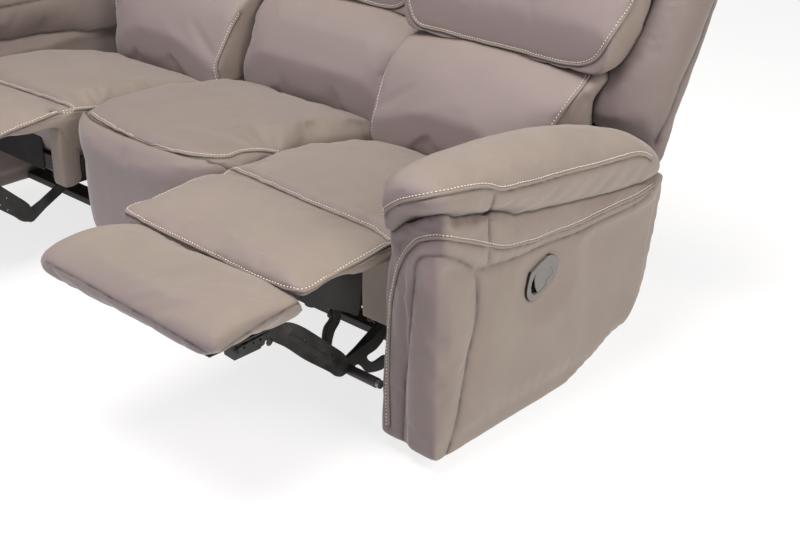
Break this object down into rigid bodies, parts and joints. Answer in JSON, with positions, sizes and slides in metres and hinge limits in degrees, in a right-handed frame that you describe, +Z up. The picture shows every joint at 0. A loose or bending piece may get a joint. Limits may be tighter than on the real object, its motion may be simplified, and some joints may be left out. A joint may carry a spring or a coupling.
{
  "type": "reclining sofa",
  "caption": "Upholstered reclining sofa with fold-out footrests on steel linkages, reclining end backs and a fixed middle seat between padded arms.",
  "frame": {"origin": "on the floor, in the middle of the box round the sofa with its footrests out", "axes": "+Z up, +Y to the back of the sofa, +X to the right of someone facing the back; the seats face -Y"},
  "size_m": [2.123, 1.5346, 1.0107],
  "materials": {
    "cover": "taupe suede-look upholstery with a soft matt sheen",
    "cover_shade": "plain matching cloth on the outside of the backs",
    "steel": "satin black coated steel",
    "bright": "plain zinc-plated steel",
    "wood": "plain sawn timber and plywood",
    "lining": "thin black lining cloth",
    "plastic": "moulded grey plastic"
  },
  "bodies": {
    "base": {"arm_body_right": "cover", "arm_body_left": "cover", "arm_pillow_right": "cover", "arm_pillow_left": "cover", "arm_front_panel_right": "cover", "arm_front_panel_left": "cover", "handle_cup_right": "plastic", "handle_cup_left": "plastic", "base_rail_front": "wood", "base_rail_rear": "wood", "foot_front_right": "plastic", "foot_front_left": "plastic", "foot_rear_right": "plastic", "foot_rear_left": "plastic", "base_plate_outer_right": "steel", "base_plate_outer_left": "steel", "base_plate_inner_right": "steel", "base_plate_inner_left": "steel", "centre_frame": "wood", "centre_springs": "bright", "centre_cushion": "cover", "centre_front_panel": "cover", "centre_lumbar": "cover", "centre_head": "cover", "centre_back_frame": "wood", "centre_rear_cover": "cover_shade"},
    "seat_right": {"carriage_right": "steel", "seat_frame_right": "wood", "seat_springs_right": "bright", "seat_fascia_right": "cover", "front_lining_right": "lining", "seat_cushion_right": "cover"},
    "seat_left": {"carriage_left": "steel", "seat_frame_left": "wood", "seat_springs_left": "bright", "seat_fascia_left": "cover", "front_lining_left": "lining", "seat_cushion_left": "cover"},
    "drive_right": {"drive_links_right": "bright"},
    "drive_left": {"drive_links_left": "bright"},
    "links_right": {"footrest_links_right": "steel"},
    "links_left": {"footrest_links_left": "steel"},
    "footrest_right": {"footrest_pad_right": "cover", "footrest_frame_right": "steel"},
    "footrest_left": {"footrest_pad_left": "cover", "footrest_frame_left": "steel"},
    "leg_pad_right": {"leg_pad_right": "cover"},
    "leg_pad_left": {"leg_pad_left": "cover"},
    "back_right": {"back_frame_right": "wood", "lumbar_cushion_right": "cover", "head_cushion_right": "cover", "rear_cover_right": "cover_shade", "back_wing_right": "cover"},
    "back_left": {"back_frame_left": "wood", "lumbar_cushion_left": "cover", "head_cushion_left": "cover", "rear_cover_left": "cover_shade", "back_wing_left": "cover"},
    "lever_right": {"flip_lever_right": "plastic"},
    "lever_left": {"flip_lever_left": "plastic"}
  },
  "joints": [
    {"name": "seat_slide_right", "type": "slide", "parent": "base", "child": "seat_right", "axis": [0, 1, 0], "range_m": [0, 0.078]},
    {"name": "seat_slide_left", "type": "slide", "parent": "base", "child": "seat_left", "axis": [0, 1, 0], "range_m": [0, 0.078]},
    {"name": "footrest_drive_right", "type": "hinge", "parent": "seat_right", "child": "drive_right", "pos_m": [0.585, -0.19744, 0.22], "axis": [1, 0, 0], "range_deg": [0, 90.6]},
    {"name": "footrest_drive_left", "type": "hinge", "parent": "seat_left", "child": "drive_left", "pos_m": [-0.585, -0.19744, 0.22], "axis": [1, 0, 0], "range_deg": [0, 90.6]},
    {"name": "footrest_link_right", "type": "hinge", "parent": "drive_right", "child": "links_right", "pos_m": [0.585, -0.34344, 0.147], "axis": [1, 0, 0], "range_deg": [-99, 0]},
    {"name": "footrest_link_left", "type": "hinge", "parent": "drive_left", "child": "links_left", "pos_m": [-0.585, -0.34344, 0.147], "axis": [1, 0, 0], "range_deg": [-99, 0]},
    {"name": "footrest_tilt_right", "type": "hinge", "parent": "links_right", "child": "footrest_right", "pos_m": [0.585, -0.57644, 0.304], "axis": [1, 0, 0], "range_deg": [0, 94.4]},
    {"name": "footrest_tilt_left", "type": "hinge", "parent": "links_left", "child": "footrest_left", "pos_m": [-0.585, -0.57644, 0.304], "axis": [1, 0, 0], "range_deg": [0, 94.4]},
    {"name": "leg_pad_fold_right", "type": "hinge", "parent": "seat_right", "child": "leg_pad_right", "pos_m": [0.585, -0.43844, 0.434], "axis": [1, 0, 0], "range_deg": [0, 86]},
    {"name": "leg_pad_fold_left", "type": "hinge", "parent": "seat_left", "child": "leg_pad_left", "pos_m": [-0.585, -0.43844, 0.434], "axis": [1, 0, 0], "range_deg": [0, 86]},
    {"name": "back_recline_right", "type": "hinge", "parent": "seat_right", "child": "back_right", "pos_m": [0.585, 0.32956, 0.286], "axis": [1, 0, 0], "range_deg": [-22, 0]},
    {"name": "back_recline_left", "type": "hinge", "parent": "seat_left", "child": "back_left", "pos_m": [-0.585, 0.32956, 0.286], "axis": [1, 0, 0], "range_deg": [-22, 0]},
    {"name": "release_lever_right", "type": "hinge", "parent": "base", "child": "lever_right", "pos_m": [1.0325, 0.00063, 0.35452], "axis": [0, -0.6561, 0.7547], "range_deg": [0, 25], "stiffness_Nm_per_rad": 0.4},
    {"name": "release_lever_left", "type": "hinge", "parent": "base", "child": "lever_left", "pos_m": [-1.0325, 0.00063, 0.35452], "axis": [0, 0.6561, -0.7547], "range_deg": [0, 25], "stiffness_Nm_per_rad": 0.4}
  ],
  "couplings": [
    {"joint": "footrest_drive_right", "follows": "seat_slide_right", "rad_per_m": 20.273},
    {"joint": "footrest_drive_left", "follows": "seat_slide_left", "rad_per_m": 20.273},
    {"joint": "footrest_link_right", "follows": "seat_slide_right", "rad_per_m": -22.152},
    {"joint": "footrest_link_left", "follows": "seat_slide_left", "rad_per_m": -22.152},
    {"joint": "footrest_tilt_right", "follows": "seat_slide_right", "rad_per_m": 21.123},
    {"joint": "footrest_tilt_left", "follows": "seat_slide_left", "rad_per_m": 21.123},
    {"joint": "leg_pad_fold_right", "follows": "seat_slide_right", "rad_per_m": 19.243},
    {"joint": "leg_pad_fold_left", "follows": "seat_slide_left", "rad_per_m": 19.243}
  ]
}
